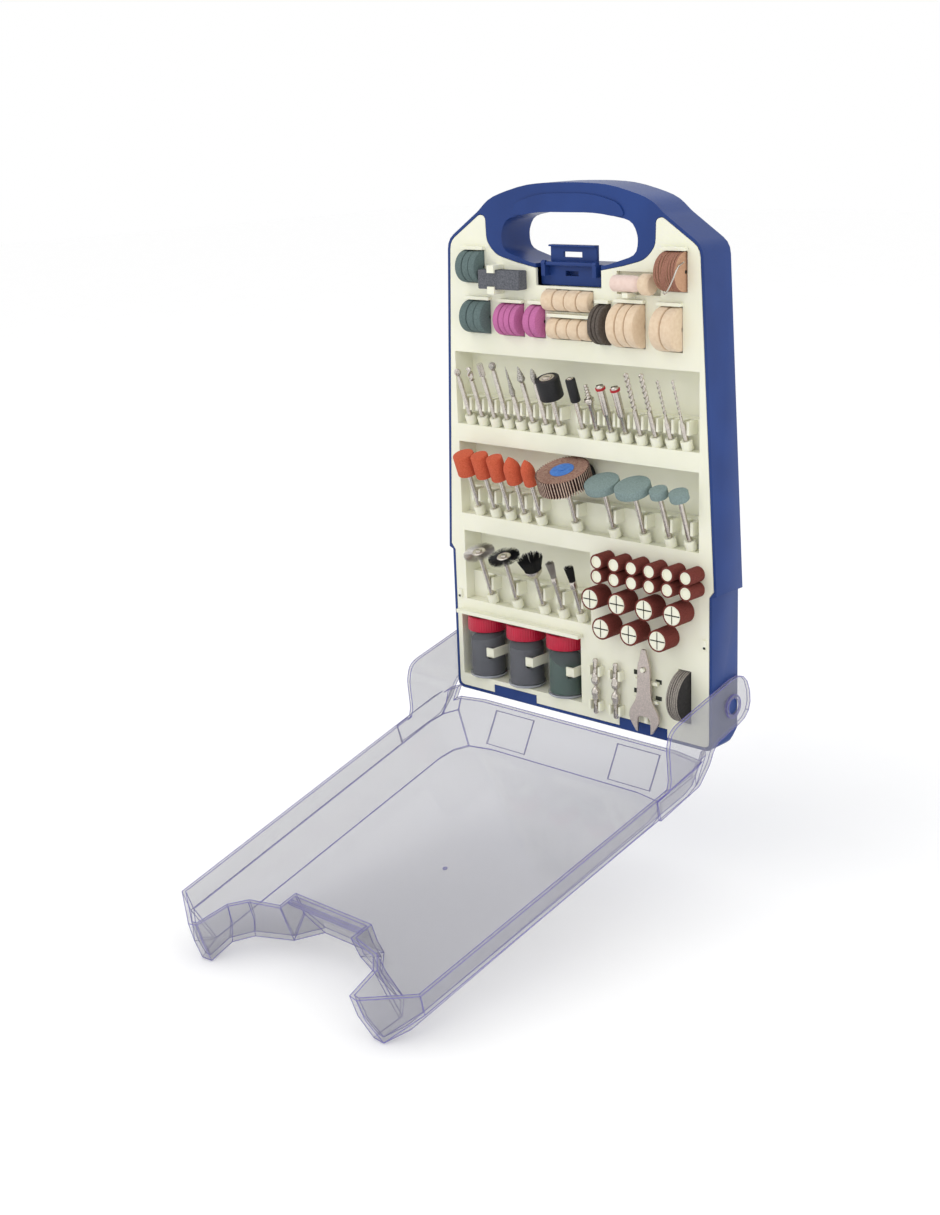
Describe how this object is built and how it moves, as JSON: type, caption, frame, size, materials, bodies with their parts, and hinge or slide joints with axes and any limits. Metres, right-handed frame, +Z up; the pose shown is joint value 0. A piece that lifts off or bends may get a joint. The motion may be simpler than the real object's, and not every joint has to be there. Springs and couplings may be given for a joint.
{
  "type": "rotary tool accessory case",
  "caption": "Flat carrying case with a handle, a clear drop-down lid, a flip latch and a tray of rotary tool accessories in sockets, clips, posts and pockets.",
  "frame": {"origin": "middle of the underside of the handle's grip, where the case hangs", "axes": "+Z up, towards the handle; +Y towards the back of the case; +X to the right of someone facing its front"},
  "size_m": [0.2178, 0.3027, 0.4265],
  "materials": {
    "blue_case": "moulded, fine texture",
    "cream_tray": "moulded, satin",
    "clear_lid": "clear moulded, glossy",
    "red_cap": "moulded, glossy",
    "clear_jar": "clear moulded",
    "black_rubber": "moulded",
    "dark_rubber": "matt, abrasive filled",
    "orange_stone": "bonded abrasive, rough",
    "grey_stone": "bonded abrasive, rough",
    "dark_stone": "bonded abrasive, rough",
    "pink_stone": "bonded abrasive, rough",
    "felt": "pressed felt",
    "brown_paper": "abrasive paper",
    "black_paper": "resin-bonded abrasive disc",
    "abrasive_cloth": "abrasive cloth",
    "black_bristle": "nylon filament",
    "steel_wire": "fine wire",
    "wrench_steel": "stamped, satin",
    "tool_steel": "ground, satin"
  },
  "bodies": {
    "case": {"arrow_burr": "tool_steel", "ball_cutter": "tool_steel", "case_shell": "blue_case", "cup_brush": "black_bristle", "cutting_discs": "black_paper", "cylinder_cutter": "tool_steel", "disc_mandrel_1": "tool_steel", "disc_mandrel_2": "tool_steel", "dressing_stone": "dark_stone", "drill_1": "tool_steel", "drill_2": "tool_steel", "drill_3": "tool_steel", "drill_4": "tool_steel", "drum_mandrel_large": "black_rubber", "drum_mandrel_small": "black_rubber", "felt_bob": "felt", "felt_cone": "felt", "flame_burr": "tool_steel", "flap_wheel": "abrasive_cloth", "grey_disc_1": "grey_stone", "grey_disc_2": "grey_stone", "grey_disc_3": "grey_stone", "grey_disc_4": "grey_stone", "grinding_discs_lower": "grey_stone", "grinding_discs_upper": "grey_stone", "jar_1": "clear_jar", "jar_2": "clear_jar", "jar_3": "clear_jar", "large_felts_1": "felt", "large_felts_2": "felt", "needle_burr": "tool_steel", "nylon_end_brush": "black_bristle", "nylon_wheel_brush": "black_bristle", "orange_stone_1": "orange_stone", "orange_stone_2": "orange_stone", "orange_stone_3": "orange_stone", "orange_stone_4": "orange_stone", "orange_stone_5": "orange_stone", "pink_discs_1": "pink_stone", "pink_discs_2": "pink_stone", "round_burr": "tool_steel", "rubber_discs": "dark_rubber", "sanding_discs": "brown_paper", "screw_mandrel": "tool_steel", "small_felts_lower": "felt", "small_felts_upper": "felt", "storage_tray": "cream_tray", "twisted_cutter": "tool_steel", "wire_end_brush": "steel_wire", "wire_wheel_brush": "steel_wire"},
    "lid": {"clear_lid": "clear_lid"},
    "latch": {"latch": "blue_case"},
    "wrench": {"open_ended_wrench": "wrench_steel"},
    "jar_cap_1": {"jar_cap_1": "red_cap"},
    "jar_cap_2": {"jar_cap_2": "red_cap"},
    "jar_cap_3": {"jar_cap_3": "red_cap"},
    "collet_mandrel_1": {"collet_mandrel_1": "tool_steel"},
    "collet_mandrel_2": {"collet_mandrel_2": "tool_steel"}
  },
  "joints": [
    {"name": "lid_hinge", "type": "hinge", "parent": "case", "child": "lid", "pos_m": [0, 0.0043, -0.2927], "axis": [-1, 0, 0], "range_deg": [0, 104]},
    {"name": "latch_hinge", "type": "hinge", "parent": "case", "child": "latch", "pos_m": [0, -0.0117, -0.0311], "axis": [1, 0, 0], "range_deg": [0, 180]},
    {"name": "wrench_slide", "type": "slide", "parent": "case", "child": "wrench", "axis": [0, -1, 0], "range_m": [0, 0.025]},
    {"name": "jar_cap_1_turn", "type": "hinge", "parent": "case", "child": "jar_cap_1", "pos_m": [-0.0835, -0.0053, -0.27], "axis": [0, 0, 1], "range_deg": [0, 360]},
    {"name": "jar_cap_2_turn", "type": "hinge", "parent": "case", "child": "jar_cap_2", "pos_m": [-0.049, -0.0053, -0.27], "axis": [0, 0, 1], "range_deg": [0, 360]},
    {"name": "jar_cap_3_turn", "type": "hinge", "parent": "case", "child": "jar_cap_3", "pos_m": [-0.0145, -0.0053, -0.27], "axis": [0, 0, 1], "range_deg": [0, 360]},
    {"name": "collet_mandrel_1_slide", "type": "slide", "parent": "case", "child": "collet_mandrel_1", "axis": [0, -1, 0], "range_m": [0, 0.02]},
    {"name": "collet_mandrel_2_slide", "type": "slide", "parent": "case", "child": "collet_mandrel_2", "axis": [0, -1, 0], "range_m": [0, 0.02]}
  ]
}
